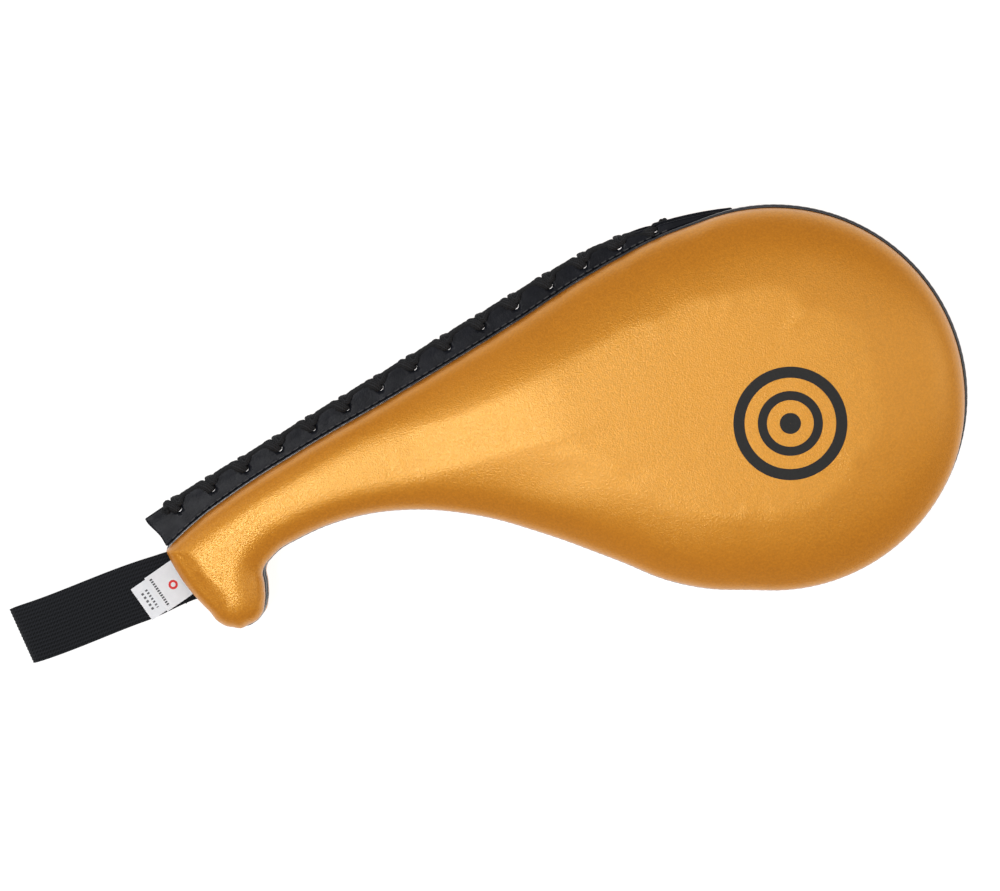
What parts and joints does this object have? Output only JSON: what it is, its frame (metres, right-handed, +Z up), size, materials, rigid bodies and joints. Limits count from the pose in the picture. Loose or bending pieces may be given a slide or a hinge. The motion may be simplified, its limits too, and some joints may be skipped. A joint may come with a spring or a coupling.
{
  "type": "double kick target paddle",
  "caption": "Double kick-target paddle: two padded teardrop blades laced along one edge, with a hooked handle and an elastic wrist loop.",
  "frame": {"origin": "bottom centre of the whole object's box, with the paddle lying on the back blade's face", "axes": "+X from the wrist strap along the handle to the tip of the round head, +Y towards the laced spine edge, +Z up through both blades"},
  "size_m": [0.494, 0.2004, 0.052],
  "materials": {
    "gold_leather": "satin metallic gold coated leather with a fine grain",
    "black_leather": "smooth semi-gloss black coated leather",
    "edge_roll": "smooth black coated leather roll",
    "soft_foam": "soft open-cell foam",
    "firm_foam": "firm closed-cell foam",
    "plate": "thin plastic sheet",
    "grip": "hard plastic bar",
    "black_thread": "twisted polyester thread",
    "lace": "flat woven polyester lace",
    "elastic": "ribbed woven elastic webbing",
    "label": "white satin label tape"
  },
  "bodies": {
    "back_blade": {"back_cover": "gold_leather", "back_impact_foam": "soft_foam", "back_stiffener_plate": "plate", "back_core_foam": "firm_foam", "back_grip_core": "grip", "back_inner_panel": "black_leather", "back_lace_flange": "black_leather", "back_edge_roll": "edge_roll", "back_seam_thread": "black_thread", "spine_lace": "lace", "head_lace_knot": "lace"},
    "front_blade": {"front_cover": "gold_leather", "front_impact_foam": "soft_foam", "front_stiffener_plate": "plate", "front_core_foam": "firm_foam", "front_grip_core": "grip", "front_inner_panel": "black_leather", "front_lace_flange": "black_leather", "front_edge_roll": "edge_roll", "front_seam_thread": "black_thread", "heel_lace_knot": "lace"},
    "wrist_strap": {"wrist_strap": "elastic", "strap_thread": "black_thread"},
    "labels": {"care_label": "label", "size_label": "label"}
  },
  "joints": [
    {"name": "blade_hinge", "type": "hinge", "parent": "back_blade", "child": "front_blade", "pos_m": [-0.16345, 0.03647, 0.026], "axis": [-0.9741, -0.226, 0], "range_deg": [0, 70], "deforming": ["spine_lace"]},
    {"name": "strap_hinge", "type": "hinge", "parent": "back_blade", "child": "wrist_strap", "pos_m": [-0.16106, 0.00051, 0.023], "axis": [-0.2873, 0.9578, 0], "range_deg": [-45, 40]},
    {"name": "label_flap", "type": "hinge", "parent": "wrist_strap", "child": "labels", "pos_m": [-0.16159, 0.00035, 0.02505], "axis": [-0.2873, 0.9578, 0], "range_deg": [0, 50]}
  ]
}
